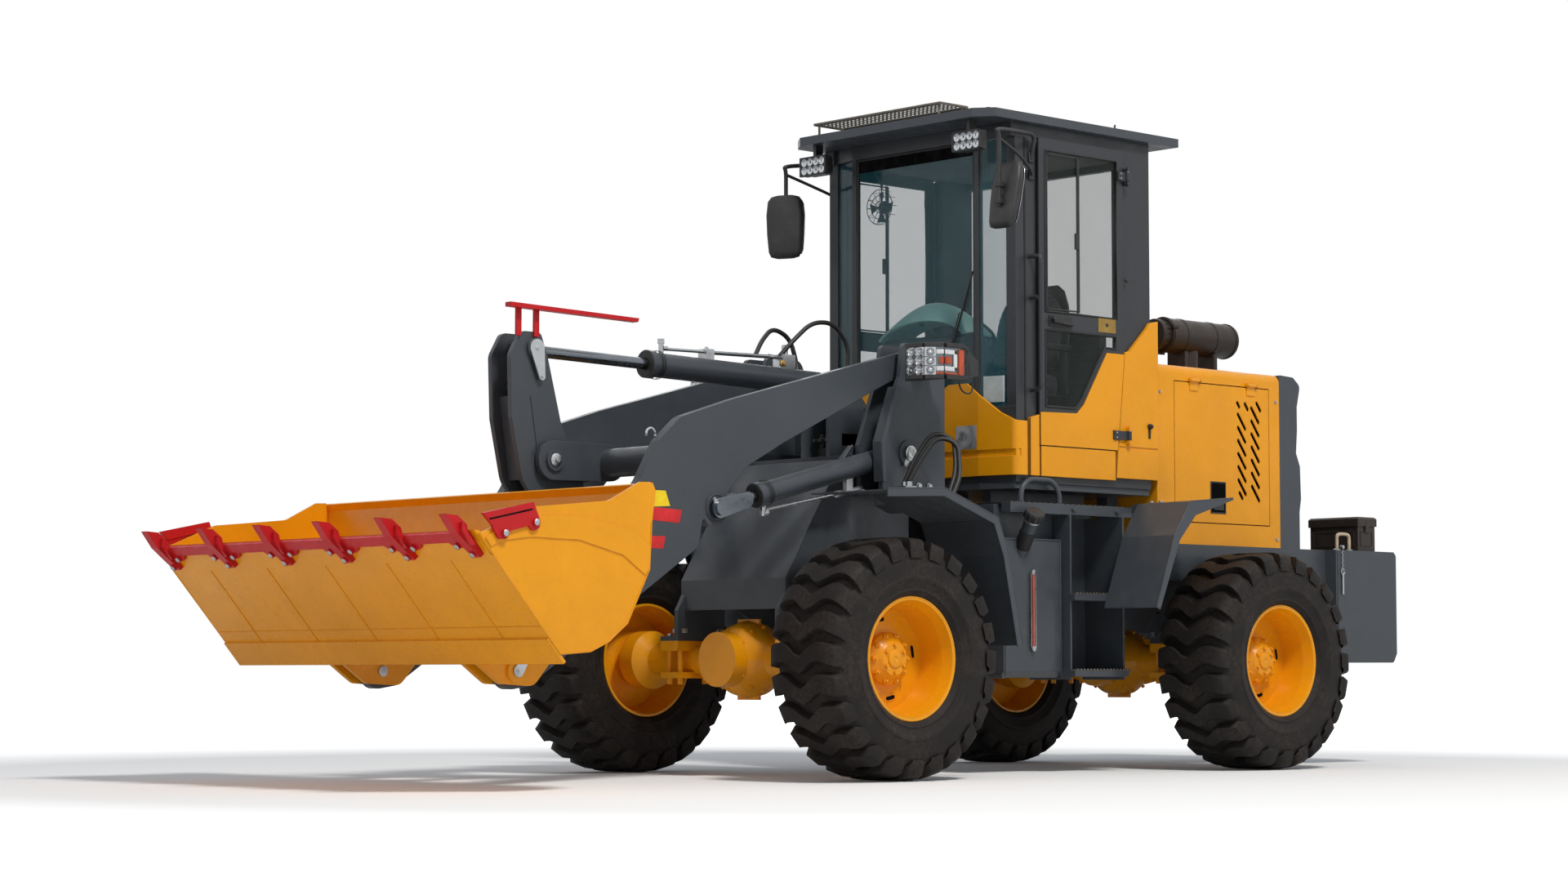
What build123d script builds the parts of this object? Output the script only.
"""Two-tonne articulated wheel loader with a Z-bar bucket linkage.

Millimetres. +X is forward, +Y is left, +Z is up. The drawing datum is the ground point under the
front axle centre, and every node is finally moved so that the origin is at the bottom centre of
the machine's overall box.
"""
import os
from math import atan2, cos, degrees, hypot, pi, radians, sin, tan

from build123d import *

# ---------------------------------------------------------------- driving dimensions
# running gear
WHEELBASE = 2640
TRACK = 1800
TYRE_OD = 1090
TYRE_WIDTH = 410
CROWN_R = 500
LUG_COUNT = 19
LUG_WIDTH = 92
LUG_BEND = 30
RIM_FLANGE_R = 274
RIM_WIDTH = 330
RIM_WALL = 14
RIM_DISC_OFFSET = -40
HUB_R = 118
HUB_COVER_R = 88
HUB_REACH = 62
SPINDLE_R = 40
SPINDLE_REACH = 20
AXLE_TUBE_R = 72
DIFF_R = 182
AXLE_PAD_Y = 400
AXLE_PAD_HALF = 150

# articulation
PIVOT_X = -WHEELBASE / 2
PIVOT_PIN_R = 32
HINGE_PLATE = 36
HINGE_EYE_R = 105
HINGE_UPPER_Z = 1010
HINGE_LOWER_Z = 560

# front frame
FRAME_HALF = 362
FRAME_PLATE = 26
FRAME_BOTTOM_Z = 690
FRAME_NOSE_X = 107
FRAME_NOSE_Z = 778
TOWER_INNER_Y = 385
TOWER_PLATE = 25
TOWER_OUTER_Y = 555
TOWER_TOP_Z = 2030
TOWER_BACK_X = -750
FRAME_BACK_X = -700
TOWER_FOOT_Z = 1310

# boom and bucket linkage, side view points (x, z)
BOOM_PIVOT = (-600, 1930)
BUCKET_PIN = (1816, 489)
LEVER_PIVOT = (1277, 1419)
LEVER_TOP = (1365, 1912)
LEVER_FOOT = (950, 930)
LINK_PIN = (1580, 750)
LIFT_BASE = (-500, 1510)
LIFT_EYE = (656, 1215)
TILT_BASE = (-500, 1870)
ARM_Y = 470
ARM_THICK = 50
SIDE_GAP = 10
PIN_R = 30
BIG_PIN_R = 35
RUNNING_FIT = 0.05
CROSS_TUBE = (950, 1420)
CROSS_TUBE_R = 65
LEVER_INNER = 55
LEVER_PLATE = 25
LUG_PLATE = 25
LIFT_BARREL_R = 50
LIFT_ROD_R = 27
LIFT_BARREL_LEN = 930
TILT_BARREL_R = 57
TILT_ROD_R = 27
TILT_BARREL_LEN = 1150

# bucket
BUCKET_HALF = 1150
BUCKET_SIDE_PLATE = 14
BUCKET_SHELL = 12
HEEL = (2086, 552)
FLOOR_SLOPE = 48.8
LIP_REACH = 650
EDGE_BACK = 440
EDGE_THICK = 20
TOOTH_COUNT = 6
TOOTH_SPREAD = 1075
TOOTH_START = 527
TOOTH_REACH = 768
TOOTH_HALF = 24
TIP_V = 44
BAR_TOP = 648
BAR_BOTTOM = 575
BAR_THICK = 18
CUTTER_THICK = 12

# steering cylinders, plan points (x, y) for the left one
STEER_BASE = (-1850, 220)
STEER_EYE = (-1100, 300)
STEER_Z = 800
STEER_BARREL_R = 36
STEER_ROD_R = 18
STEER_BARREL_LEN = 500
HOSE_R = 11
PIPE_R = 8

# rear frame
REAR_HALF = 440
REAR_PLATE = 26
REAR_TOP_Z = 1130
REAR_BOTTOM_Z = 700
REAR_FRONT_X = -1780
REAR_END_X = -3560

# cab
CAB_HALF = 645
CAB_FRONT_X = -1113
CAB_CORNER_X = -1153
CAB_DOOR_FRONT_X = -1300
CAB_DOOR_BACK_X = -1925
CAB_BACK_X = -2148
CAB_SKIRT_Z = 1435
CAB_SILL_Z = 1585
CAB_BELT_Z = 1770
CAB_EAVES_Z = 3150
DOOR_TOP_Z = 3090
ROOF_TOP_Z = 3215
ROOF_HALF = 690
ROOF_FRONT_X = -900
ROOF_BACK_X = -2330
POST = 60
GRAB_X = -1262
GLASS = 6
CAB_FLOOR_Z = 1400
SEAT_BASE_Z = 1880
PANEL = 19
DOOR_AXIS = (-1946, 680)
DOOR_PIN_R = 7
DOOR_HINGE_Z = (1660, 2960)

# hood and tail
HOOD_HALF = 650
HOOD_FRONT_X = -2190
HOOD_BACK_X = -3180
HOOD_BOTTOM_Z = 1135
HOOD_TOP_Z = 2045
SHEET = 6
LID_AXIS = (661, 1972)
LID_PIN_R = 5
LID_HINGE_X = (-2480, -2940)
GRILLE_DEPTH = 175
BALLAST_HALF = 720
BALLAST_FRONT_X = -3560
BALLAST_BACK_X = -4090
BALLAST_BOTTOM_Z = 540
BALLAST_TOP_Z = HOOD_BOTTOM_Z
TOW_PIN = (-4035, 0)
TOW_BORE_R = 21
TOW_JAW_Z = (760, 850)

# side tank, steps and fenders
TANK_FRONT_X = -1040
TANK_BACK_X = -1455
TANK_INNER_Y = 470
TANK_OUTER_Y = 660
TANK_BOTTOM_Z = 460
TANK_TOP_Z = 1130
STEP_BACK_X = -1860
STEP_OUTER_Y = 740
STEP_LEVELS = (465, 835)
BEAM_Z = 1250
BEAM_FRONT_X = -1050
BEAM_DEEP = 50
FENDER_INNER_Y = 660
FENDER_OUTER_Y = 1090
FENDER_SHEET = 8
LAMP_BOTTOM_Z = 1830
LAMP_TOP_Z = 2008

CLEAR = 5

HUB_Z = TYRE_OD / 2
REAR_X = -WHEELBASE
FRONT_TIP_X = HEEL[0] + TOOTH_REACH * cos(radians(FLOOR_SLOPE)) + TIP_V * sin(radians(FLOOR_SLOPE))
SHIFT_X = -(FRONT_TIP_X + BALLAST_BACK_X) / 2

os.makedirs("parts", exist_ok=True)


# ---------------------------------------------------------------- shared helpers
def block(x0, x1, y0, y1, z0, z1):
    """Rectangular block between two corners."""
    size = (abs(x1 - x0), abs(y1 - y0), abs(z1 - z0))
    middle = ((x0 + x1) / 2, (y0 + y1) / 2, (z0 + z1) / 2)
    return Pos(*middle) * Box(*size)


def outline(corners):
    """Closed flat face from corners given as (u, v) or (u, v, corner radius).

    A corner's radius is limited so that its arc uses less than half of either edge.
    """
    corners = [c if len(c) == 3 else (*c, 0) for c in corners]
    edges = []
    count = len(corners)
    last = None
    first = None
    for i, (u, v, radius) in enumerate(corners):
        here = Vector(u, v)
        back = Vector(*corners[i - 1][:2]) - here
        ahead = Vector(*corners[(i + 1) % count][:2]) - here
        start, end = here, here
        if radius > 0:
            half_angle = radians(back.get_angle(ahead)) / 2
            reach = min(radius / tan(half_angle), 0.45 * back.length, 0.45 * ahead.length)
            start = here + back.normalized() * reach
            end = here + ahead.normalized() * reach
            inward = (back.normalized() + ahead.normalized()).normalized()
            middle = here + inward * (reach / cos(half_angle) - reach * tan(half_angle))
        if last is not None:
            edges.append(Line(last, start))
        if radius > 0:
            edges.append(ThreePointArc(start, middle, end))
        last = end
        first = start if first is None else first
    edges.append(Line(last, first))
    return Face(Wire(edges))


def side_plate(corners, y0, y1):
    """Plate with an outline in side view (x, z), between two y values."""
    low, high = min(y0, y1), max(y0, y1)
    plane = Plane(origin=(0, high, 0), x_dir=(1, 0, 0), z_dir=(0, -1, 0))
    return extrude(plane * outline(corners), high - low, dir=(0, -1, 0))


def plan_plate(corners, z0, z1):
    """Plate with an outline in plan (x, y), between two heights."""
    return extrude(Pos(0, 0, z0) * outline(corners), z1 - z0, dir=(0, 0, 1))


def front_plate(corners, x0, x1):
    """Plate with an outline in front view (y, z), between two x values."""
    low, high = min(x0, x1), max(x0, x1)
    plane = Plane(origin=(low, 0, 0), x_dir=(0, 1, 0), z_dir=(1, 0, 0))
    return extrude(plane * outline(corners), high - low, dir=(1, 0, 0))


def rod(start, end, radius):
    """Round bar between two points."""
    a, b = Vector(*start), Vector(*end)
    plane = Plane(origin=a, z_dir=(b - a).normalized())
    return extrude(plane * Circle(radius), (b - a).length)


def pin_y(point, radius, y0, y1):
    """Round pin along Y through a side-view point."""
    return rod((point[0], y0, point[1]), (point[0], y1, point[1]), radius)


def capsule(a, b, ra, rb, y0, y1):
    """Flat link plate with a round end of its own radius at each side-view point."""
    ax, az = a
    bx, bz = b
    length = hypot(bx - ax, bz - az)
    turn = degrees(atan2(bz - az, bx - ax))
    lean = asin_safe((ra - rb) / length)
    c, s = cos(lean), sin(lean)
    web = make_face(Polyline((ra * s, ra * c), (length + rb * s, rb * c),
                             (length + rb * s, -rb * c), (ra * s, -ra * c), close=True))
    face = web + Circle(ra) + Pos(length, 0) * Circle(rb)
    plane = Plane(origin=(0, max(y0, y1), 0), x_dir=(1, 0, 0), z_dir=(0, -1, 0))
    return extrude(plane * (Pos(ax, az) * Rot(0, 0, turn) * face), abs(y1 - y0), dir=(0, -1, 0))


def asin_safe(value):
    """Arc sine through the arc tangent."""
    return atan2(value, (1 - value * value) ** 0.5)


def both_sides(shape):
    """A shape and its mirror image about the centre plane."""
    return shape + mirror(shape, about=Plane.XZ)


def tube_path(points, radius, bend):
    """Round tube along straight runs joined by tangent arcs."""
    path = FilletPolyline(*points, radius=bend) if len(points) > 2 else Polyline(*points)
    start = Plane(origin=path @ 0, z_dir=path % 0)
    return sweep(start * Circle(radius), path=path)


def save(shape, name):
    """Move a node to the machine's origin and write it."""
    placed = Pos(SHIFT_X, 0, 0) * shape
    placed.label = name
    export_step(placed, f"parts/{name}.step")


def along(start, end, distance):
    """Side-view point at a distance from start towards end."""
    length = hypot(end[0] - start[0], end[1] - start[1])
    share = distance / length
    return (start[0] + (end[0] - start[0]) * share, start[1] + (end[1] - start[1]) * share)


# ---------------------------------------------------------------- wheels
def tyre_ring(radius, y):
    """Corners of one many-sided ring whose flats lie at a radius."""
    corner = radius / cos(pi / LUG_COUNT)
    steps = [2 * pi * (i + 0.5) / LUG_COUNT for i in range(LUG_COUNT)]
    return [Vector(corner * cos(a), y, corner * sin(a)) for a in steps]


def tyre_half(side):
    """Half of the carcass in flats, one flat to each lug, with the chevron lugs of that side."""
    half = TYRE_WIDTH / 2
    bands = [(CROWN_R + 8, 0), (CROWN_R - 18, half - 12), (RIM_FLANGE_R + 60, half), (RIM_FLANGE_R + 20, RIM_WIDTH / 2 + 8)]
    rings = [tyre_ring(r, side * y) for r, y in bands]
    faces = [Face(Wire.make_polygon(rings[0], close=True)), Face(Wire.make_polygon(rings[-1], close=True))]
    for inner, outer in zip(rings, rings[1:]):
        for i in range(LUG_COUNT):
            j = (i + 1) % LUG_COUNT
            faces.append(Face(Wire.make_polygon([inner[i], inner[j], outer[j], outer[i]], close=True)))
    carcass = Solid(Shell(faces))
    w = LUG_WIDTH / 2
    top = (TYRE_OD ** 2 / 4 - (w + LUG_BEND) ** 2) ** 0.5
    reach = side * half
    plan = outline([(-w, 0), (w, 0), (w + LUG_BEND, reach), (-w + LUG_BEND, reach)])
    lug = extrude(Pos(0, 0, CROWN_R - 60) * plan, top - CROWN_R + 60, dir=(0, 0, 1))
    pitch = 360 / LUG_COUNT
    first = 0 if side > 0 else pitch / 2
    return carcass.fuse(*[Rot(0, first + pitch * i, 0) * lug for i in range(LUG_COUNT)])


def tyre():
    """Tyre: two halves, their lugs half a pitch apart, bored to sit on the rim."""
    body = tyre_half(1) + tyre_half(-1)
    bore = Face(Wire.make_polygon(tyre_ring(RIM_FLANGE_R, -TYRE_WIDTH), close=True))
    return body - extrude(bore, 2 * TYRE_WIDTH, dir=(0, 1, 0))


def rim():
    """Wheel rim turned about Y: flanges, deep dish, disc and the planetary hub cover."""
    half = RIM_WIDTH / 2
    inner = RIM_FLANGE_R - 2 * RIM_WALL
    dish = RIM_DISC_OFFSET
    section = outline([
        (RIM_FLANGE_R, -half - 4), (RIM_FLANGE_R, half + 4), (RIM_FLANGE_R - 12, half + 4),
        (inner, half - 50), (inner - 16, dish + 34), (HUB_R + 30, dish + 40), (HUB_R, dish + 40),
        (HUB_R, dish + HUB_REACH), (HUB_COVER_R, dish + HUB_REACH + 26), (HUB_COVER_R - 14, dish + HUB_REACH + 40),
        (0, dish + HUB_REACH + 40), (0, SPINDLE_REACH), (SPINDLE_R + RUNNING_FIT, SPINDLE_REACH),
        (SPINDLE_R + RUNNING_FIT, dish - 20), (HUB_R, dish - 20), (inner - 16, dish + 14), (inner, -half + 50),
        (RIM_FLANGE_R - 12, -half - 4)])
    return revolve(section, Axis.Y)


def wheel_places():
    """Name, x and side of each wheel."""
    return [("front_left", 0, 1), ("front_right", 0, -1), ("rear_left", REAR_X, 1), ("rear_right", REAR_X, -1)]


def wheels():
    one_tyre, one_rim = tyre(), rim()
    for name, x, side in wheel_places():
        turn = Rot(0, 0, 0) if side > 0 else Rot(0, 0, 180)
        place = Pos(x, side * TRACK / 2, HUB_Z) * turn
        save(place * one_tyre, f"tyre_{name}")
        save(place * one_rim, f"rim_{name}")


# ---------------------------------------------------------------- axles
def axle(x):
    """Driven axle: banjo with ribs, tapered tubes and brake housings, with pads above."""
    end = TRACK / 2 + RIM_DISC_OFFSET - 20 - CLEAR
    half = outline([(0, 0), (DIFF_R, 0), (DIFF_R - 12, 60), (DIFF_R - 50, 120), (AXLE_TUBE_R + 14, 190),
                    (AXLE_TUBE_R, 300), (AXLE_TUBE_R, end - 190), (HUB_R + 22, end - 150),
                    (HUB_R + 22, end - 60), (HUB_R - 20, end - 40), (HUB_R - 20, end), (0, end)])
    arm = revolve(half, Axis.Y) + rod((0, end - 10, 0), (0, TRACK / 2 + SPINDLE_REACH - CLEAR, 0), SPINDLE_R)
    body = arm + mirror(arm, about=Plane.XZ)
    nose = rod((60, 0, 0), (-260, 0, 0), 74) + rod((-250, 0, 0), (-285, 0, 0), 92)
    cover = rod((100, 0, 0), (206, 0, 0), 128)
    ribs = [Rot(0, 60 * i + 30, 0) * Pos(DIFF_R - 6, 0, 0) * Box(26, 150, 12) for i in range(6)]
    pads = [block(-AXLE_PAD_HALF, AXLE_PAD_HALF, s * AXLE_PAD_Y - 62, s * AXLE_PAD_Y + 62,
                  AXLE_TUBE_R - 30, AXLE_TUBE_R + 18) for s in (1, -1)]
    clamps = [block(-AXLE_PAD_HALF, AXLE_PAD_HALF, s * AXLE_PAD_Y - 62, s * AXLE_PAD_Y + 62,
                    -AXLE_TUBE_R - 16, -AXLE_TUBE_R + 14) for s in (1, -1)]
    bolts = [rod((dx, s * AXLE_PAD_Y + dy, -AXLE_TUBE_R - 44), (dx, s * AXLE_PAD_Y + dy, AXLE_TUBE_R + 18), 13)
             for s in (1, -1) for dx in (-112, 112) for dy in (-38, 38)]
    whole = body + nose + cover + ribs + pads + clamps + bolts
    return Pos(x, 0, HUB_Z) * whole


# ---------------------------------------------------------------- front frame
def front_frame():
    inner_y = FRAME_HALF - FRAME_PLATE
    side = side_plate([
        (FRAME_NOSE_X, FRAME_NOSE_Z), (FRAME_NOSE_X, 920), (-69, 1205), (-255, 1482), (-320, 1550),
        (TOWER_BACK_X, 1550), (TOWER_BACK_X, 1320), (FRAME_BACK_X, 1320), (FRAME_BACK_X, FRAME_BOTTOM_Z - 40, 40),
        (-400, FRAME_BOTTOM_Z), (-230, FRAME_BOTTOM_Z + 100), (FRAME_NOSE_X - 90, FRAME_BOTTOM_Z + 100),
        ], inner_y, FRAME_HALF)
    pad_leg = side_plate([(-AXLE_PAD_HALF, 900), (AXLE_PAD_HALF - 70, 900), (AXLE_PAD_HALF, FRAME_NOSE_Z),
                          (AXLE_PAD_HALF, HUB_Z + AXLE_TUBE_R + 18), (-AXLE_PAD_HALF, HUB_Z + AXLE_TUBE_R + 18)],
                         inner_y, FRAME_HALF)
    pad_foot = block(-AXLE_PAD_HALF, AXLE_PAD_HALF, inner_y, AXLE_PAD_Y + 60,
                     HUB_Z + AXLE_TUBE_R + 18, HUB_Z + AXLE_TUBE_R + 40)
    tower_out = TOWER_OUTER_Y
    tower = [
        (-320, 1550), (-330, 1370), (-330, TOWER_FOOT_Z), (TOWER_BACK_X, TOWER_FOOT_Z),
        (TOWER_BACK_X, 1900, 60), (-700, TOWER_TOP_Z, 60), (-470, TOWER_TOP_Z, 30), (-448, 1870), (-420, 1810)]
    inner_plate = side_plate(tower, TOWER_INNER_Y, TOWER_INNER_Y + TOWER_PLATE)
    outer_plate = side_plate(tower, tower_out - TOWER_PLATE, tower_out)
    back_wall = block(TOWER_BACK_X, TOWER_BACK_X + 20, TOWER_INNER_Y, tower_out, TOWER_FOOT_Z, 1800)
    shelf = block(TOWER_BACK_X, -330, inner_y, tower_out, TOWER_FOOT_Z, TOWER_FOOT_Z + 24)
    flange = side_plate([(-320, 1550), (-330, 1370), (-300, 1370), (-292, 1556), (-392, 1818), (-420, 1810)],
                        tower_out - TOWER_PLATE, tower_out + 30)
    half = side + pad_leg + pad_foot + inner_plate + outer_plate + back_wall + shelf + flange
    for point in (BOOM_PIVOT, LIFT_BASE):
        half += pin_y(point, 62, tower_out, tower_out + 10)
        half += pin_y(point, BIG_PIN_R, TOWER_INNER_Y, tower_out + 22)
    frame = both_sides(half)

    # sloping nose, floor and back walls of the box between the side plates
    nose = side_plate([(FRAME_NOSE_X, FRAME_NOSE_Z), (FRAME_NOSE_X, 920), (-69, 1205), (-255, 1482),
                       (-275, 1468), (-91, 1193), (FRAME_NOSE_X - 22, 912), (FRAME_NOSE_X - 22, FRAME_NOSE_Z)],
                      -inner_y, inner_y)
    deck = block(TOWER_BACK_X, -300, -TOWER_INNER_Y, TOWER_INNER_Y, 1480, 1504)
    beam = block(TOWER_BACK_X, TOWER_BACK_X + 90, -TOWER_INNER_Y, TOWER_INNER_Y, 1504, 1760)
    cheeks = [side_plate([(TOWER_BACK_X + 60, 1760), (TOWER_BACK_X + 60, 1500), (-430, 1500), (-430, 1800),
                          (-450, 1930, 40), (-550, 1930, 40)], s * 75, s * 100) for s in (1, -1)]
    tilt_pin = pin_y(TILT_BASE, PIN_R, -112, 112)
    frame = frame + nose + deck + beam + cheeks + tilt_pin

    # hinge nose that reaches back to the articulation pin
    taper = [(-520, -inner_y), (-520, inner_y), (FRAME_BACK_X, inner_y), (-835, 190),
             (PIVOT_X + 40, HINGE_EYE_R - 6), (PIVOT_X + 40, -HINGE_EYE_R + 6), (-835, -190), (FRAME_BACK_X, -inner_y)]
    for z in (HINGE_UPPER_Z, HINGE_LOWER_Z):
        plate = plan_plate(taper, z, z + HINGE_PLATE)
        plate += Pos(PIVOT_X, 0, z) * Cylinder(HINGE_EYE_R, HINGE_PLATE, align=(Align.CENTER, Align.CENTER, Align.MIN))
        plate -= Pos(PIVOT_X, 0, z) * Cylinder(PIVOT_PIN_R + RUNNING_FIT, 3 * HINGE_PLATE)
        frame += plate
    web = block(PIVOT_X + 260, FRAME_BACK_X, -150, 150, HINGE_LOWER_Z + HINGE_PLATE, HINGE_UPPER_Z)
    web -= block(PIVOT_X + 240, FRAME_BACK_X + 20, -124, 124, HINGE_LOWER_Z + HINGE_PLATE, HINGE_UPPER_Z)
    skirts = [block(FRAME_BACK_X, -520, s * (inner_y - 24), s * inner_y, HINGE_LOWER_Z, FRAME_BOTTOM_Z + 20) for s in (1, -1)]
    ear_plan = [(STEER_EYE[0] - 50, 250), (STEER_EYE[0] - 50, 335), (-1020, 335), (-860, 205),
                (FRAME_BACK_X + 20, 205), (FRAME_BACK_X + 20, 120), (-960, 120)]
    steer_ears = [both_sides(plan_plate(ear_plan, STEER_Z + o, STEER_Z + o + 20)) for o in (-54, 34)]
    return frame + web + skirts + steer_ears


def folded_sheet(line, thick, y0, y1, edge_deep):
    """Sheet folded along a side-view line, with a turned-down edge along its outer side."""
    under = offset_line(line, thick)
    deep = offset_line(line, edge_deep)
    sheet = side_plate(line + under[::-1], y0, y1)
    return sheet + side_plate(line + deep[::-1], y1 - thick, y1)


def front_fenders():
    """Folded fender sheets over the front wheels, with a stay to the tower."""
    line = [(170, 1296), (-195, 1312), (-545, 1190), (-615, 1024), (-706, 610)][::-1]
    sheet = folded_sheet(line, FENDER_SHEET, 600, FENDER_OUTER_Y, 34)
    stay = side_plate([(-330, TOWER_FOOT_Z), (-430, TOWER_FOOT_Z), (-430, 1226), (-330, 1262)], 500, 650)
    return both_sides(sheet + stay)


def headlamps():
    """Wedge-shaped lamp housings on brackets outboard of the towers."""
    shell = plan_plate([(-335, 700), (-335, 718), (-362, 800), (-430, 860), (-660, 860), (-690, 790), (-690, 700)],
                       LAMP_BOTTOM_Z, LAMP_TOP_Z)
    shell -= side_plate([(-330, LAMP_BOTTOM_Z), (-362, LAMP_TOP_Z + 1), (-300, LAMP_TOP_Z + 1), (-300, LAMP_BOTTOM_Z)], 650, 900)
    shell -= side_plate([(-545, LAMP_TOP_Z + 1), (-681, 1920), (-660, 1862), (-720, 1862), (-720, LAMP_TOP_Z + 1)], 650, 900)
    shell -= side_plate([(-330, LAMP_BOTTOM_Z), (-660, 1863), (-720, 1863), (-720, LAMP_BOTTOM_Z - 1), (-330, LAMP_BOTTOM_Z - 1)],
                        650, 900)
    stalk = block(-640, -520, TOWER_OUTER_Y, 705, 1866, 1900)
    stalk -= pin_y(BOOM_PIVOT, 63, TOWER_OUTER_Y - 1, TOWER_OUTER_Y + 28)
    return both_sides(shell + stalk)


def hose(points, radius):
    """Round hose whose arcs are as large as its two runs allow at each corner."""
    bends = []
    for i in range(1, len(points) - 1):
        here = Vector(*points[i])
        back, ahead = Vector(*points[i - 1]) - here, Vector(*points[i + 1]) - here
        half_turn = radians(180 - back.get_angle(ahead)) / 2
        bends.append(0.45 * min(back.length, ahead.length) / tan(half_turn))
    print("hose radii", [round(b) for b in bends])
    path = FilletPolyline(*points, radius=bends)
    start = Plane(origin=path @ 0, z_dir=path % 0)
    return sweep(start * Circle(radius), path=path)


def tower_hoses():
    """Two hoses that loop from each tower's foot over to a fitting on the fender."""
    loop = [(-434, 600, 1372), (-480, 625, 1490), (-548, 672, 1608), (-622, 738, 1578), (-588, 784, 1420), (-520, 800, 1306)]
    half = []
    for dy, dz in ((0, 0), (27, -22)):
        points = [(x, y + dy, z + (dz if z > 1400 else 0)) for x, y, z in loop]
        half.append(hose(points, HOSE_R))
    return both_sides(Compound(half))


def hose_fittings(hoses):
    """Crimped ends and the foot blocks that carry the tower hoses."""
    half = block(-470, -400, TOWER_OUTER_Y, 640, 1334, 1352)
    half += side_plate([(-545, 1190), (-545, 1246), (-495, 1246), (-495, 1190 + 50 * 122 / 350)], 780, 850)
    for dy in (0, 27):
        half += rod((-434, 600 + dy, 1350), (-434, 600 + dy, 1372), 16)
        half += rod((-520, 800 + dy, 1244), (-520, 800 + dy, 1306), 16)
    return both_sides(half) - hoses


# ---------------------------------------------------------------- boom
def boom():
    """Two plate arms, the cross tube, and the bracket that carries the tilt lever."""
    y0, y1 = ARM_Y - ARM_THICK / 2, ARM_Y + ARM_THICK / 2
    arm = side_plate([
        (-640, 2020, 60), (-549, 2000), (549, 1711, 300), (870, 1612, 120), (1000, 1500, 60), (1108, 1317, 200),
        (1790, 570), (1900, 500, 70), (1850, 405, 70), (1720, 425), (1110, 816), (760, 1040, 60),
        (735, 1180, 40), (700, 1130, 30), (600, 1150, 50), (590, 1290, 60), (474, 1408, 200), (236, 1532),
        (-483, 1868), (-620, 1835, 80), (-710, 1930, 60)], y0, y1)
    boss_y0 = TOWER_INNER_Y + TOWER_PLATE + CLEAR
    boss_y1 = boss_y0 + 100 + 2 * SIDE_GAP - 2 * CLEAR
    arm += pin_y(BOOM_PIVOT, 70, boss_y0, boss_y1)
    arm -= pin_y(BOOM_PIVOT, BIG_PIN_R + RUNNING_FIT, boss_y0 - 1, boss_y1 + 1)
    arm += pin_y(LIFT_EYE, 62, y0 - 3, y1 + 3)
    arm -= pin_y(BUCKET_PIN, BIG_PIN_R + RUNNING_FIT, y0 - 1, y1 + 1)
    arms = both_sides(arm)
    tube = pin_y(CROSS_TUBE, CROSS_TUBE_R, -y0, y0)
    inner = LEVER_INNER + LEVER_PLATE + SIDE_GAP
    bracket = capsule(LEVER_PIVOT, CROSS_TUBE, 88, 82, inner, inner + LEVER_PLATE)
    bracket += pin_y(LEVER_PIVOT, 48, inner + LEVER_PLATE, inner + LEVER_PLATE + 12)
    pin = pin_y(LEVER_PIVOT, BIG_PIN_R, -inner - 5, inner + 5)
    return arms + tube + both_sides(bracket) + pin


def tilt_lever():
    """Bell crank of two plates with the pivot boss between them."""
    y0, y1 = LEVER_INNER, LEVER_INNER + LEVER_PLATE
    plate = side_plate([
        (1330, 1985, 30), (1440, 1985, 40), (1500, 1880, 60), (1490, 1600), (1430, 1330, 120),
        (1180, 1000), (1040, 860, 60), (900, 850, 50), (860, 950, 50), (1130, 1400, 80), (1215, 1600), (1290, 1880, 40)],
        y0, y1)
    plate += pin_y(LEVER_TOP, 46, y1, y1 + 14)
    plate += pin_y(LEVER_FOOT, 46, y1, y1 + 14)
    lever = both_sides(plate) + pin_y(LEVER_FOOT, PIN_R, -y0, y0)
    lever += pin_y(LEVER_PIVOT, 74, -y1, y1)
    lever -= pin_y(LEVER_PIVOT, BIG_PIN_R + RUNNING_FIT, -y1 - 20, y1 + 20)
    return lever


def level_indicator():
    """Pointer rail on two posts beside the lever's top."""
    y = LEVER_INNER + LEVER_PLATE + 12
    rail = side_plate([(1540, 2082), (806, 2066), (800, 2084), (1540, 2102)], y, y + 40)
    posts = [block(x - 14, x + 14, y - 12, y, 1962, 2092) for x in (1362, 1462)]
    return rail + posts


def bucket_link():
    """Forged link between the lever's foot and the bucket."""
    y = LEVER_INNER - SIDE_GAP
    link = capsule(LEVER_FOOT, LINK_PIN, 62, 58, -y, y)
    return link - pin_y(LEVER_FOOT, PIN_R + RUNNING_FIT, -y - 1, y + 1)


# ---------------------------------------------------------------- bucket
def bucket_shell_line():
    """Outer line of the wrapper sheet in side view, from the cutting edge to the back's top."""
    return [(2430, 945), (2086, 552), (1929, 563), (1834, 603), (1730, 680), (1687, 764),
            (1613, 902), (1602, 1097), (1583, 1229), (1600, 1262)]


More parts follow.
